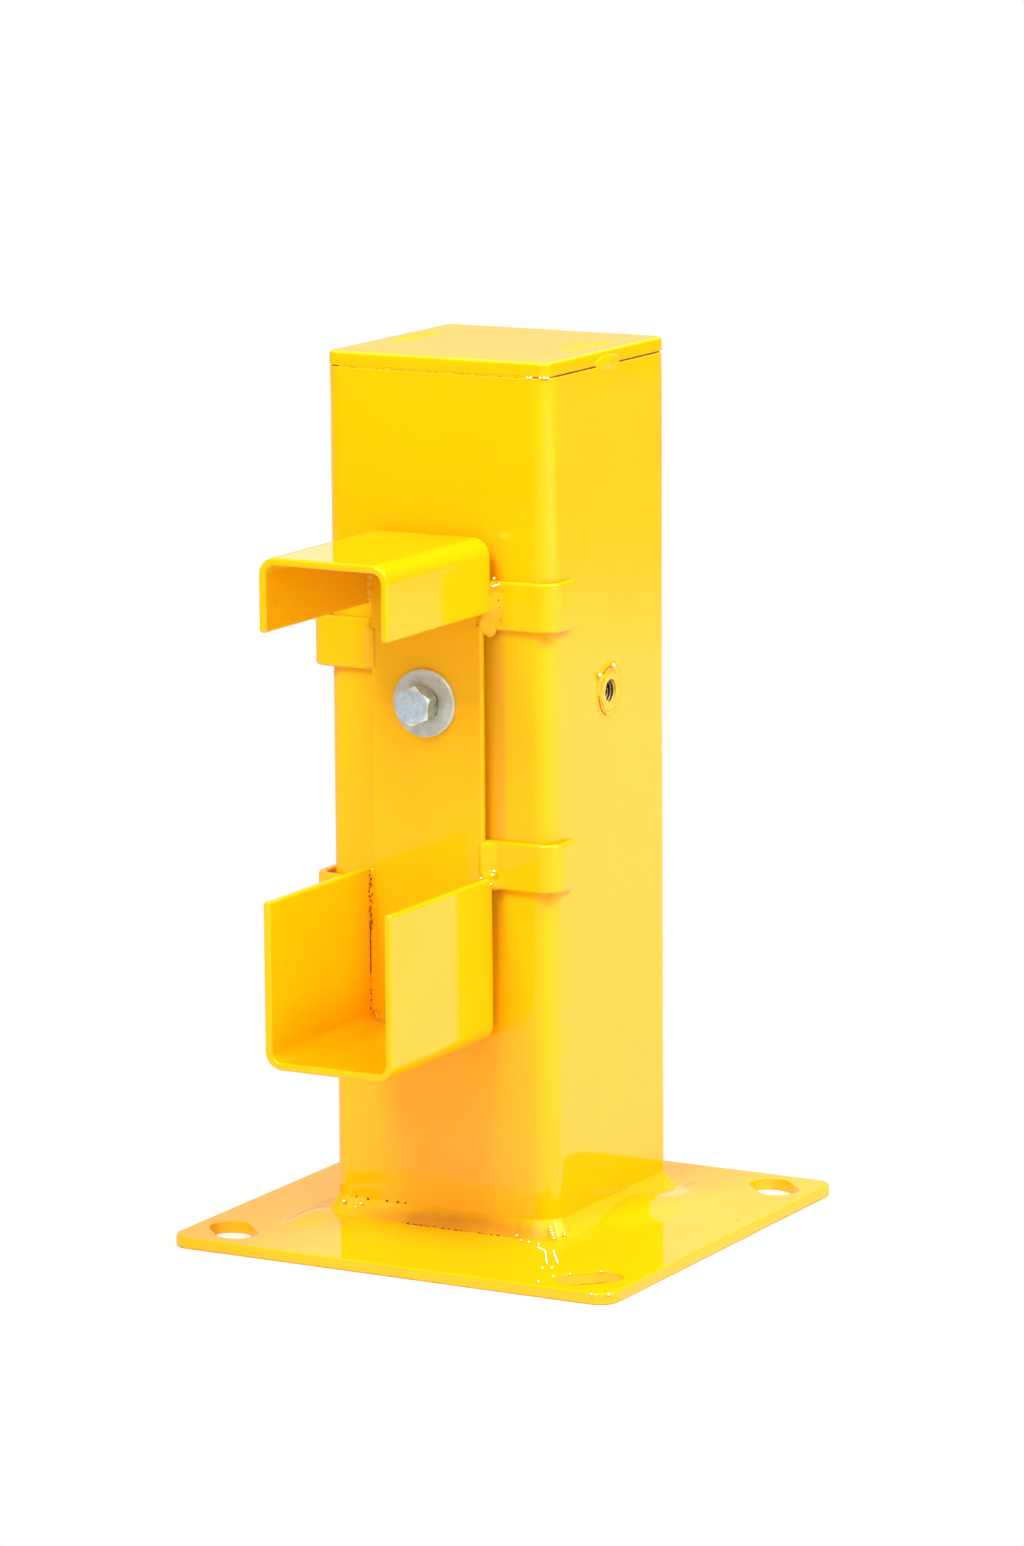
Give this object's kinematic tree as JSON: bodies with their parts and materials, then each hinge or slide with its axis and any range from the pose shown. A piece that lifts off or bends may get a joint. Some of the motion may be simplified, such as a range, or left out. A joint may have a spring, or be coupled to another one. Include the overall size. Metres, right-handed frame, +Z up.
{
  "type": "guard rail post with bolt-on rail bracket",
  "caption": "Square steel post on a slotted base plate, with a capped top, weld nuts and a bolt-on bracket of two channels that takes the end of a guard rail.",
  "frame": {"origin": "on the post's axis, at the underside of the base plate", "axes": "+Z up along the post; -Y out of the face that carries the bracket; +X to its right, out of the face whose weld nut shows"},
  "size_m": [0.248, 0.274, 0.4436],
  "materials": {
    "yellow_coat": "glossy powder coat",
    "zinc_plate": "bright zinc plate"
  },
  "bodies": {
    "root": {"base_plate": "yellow_coat", "foot_weld": "yellow_coat", "post_tube": "yellow_coat", "cap_plate": "yellow_coat", "cap_lug_left": "yellow_coat", "cap_lug_right": "yellow_coat", "cap_plug_left": "yellow_coat", "cap_plug_right": "yellow_coat", "cap_tack": "yellow_coat", "nut_front": "yellow_coat", "nut_right": "yellow_coat", "nut_back": "yellow_coat", "nut_left": "yellow_coat", "nut_weld_front": "yellow_coat", "nut_weld_right": "yellow_coat", "nut_weld_back": "yellow_coat", "nut_weld_left": "yellow_coat", "bracket_plate": "yellow_coat", "upper_channel": "yellow_coat", "lower_channel": "yellow_coat", "upper_seam": "yellow_coat", "lower_seam": "yellow_coat", "upper_tab_right": "yellow_coat", "upper_tab_left": "yellow_coat", "lower_tab_right": "yellow_coat", "lower_tab_left": "yellow_coat", "upper_weld_right": "yellow_coat", "upper_weld_left": "yellow_coat", "lower_weld_right": "yellow_coat", "lower_weld_left": "yellow_coat", "flat_washer": "zinc_plate", "spring_washer": "zinc_plate", "bolt": "zinc_plate"}
  },
  "joints": []
}
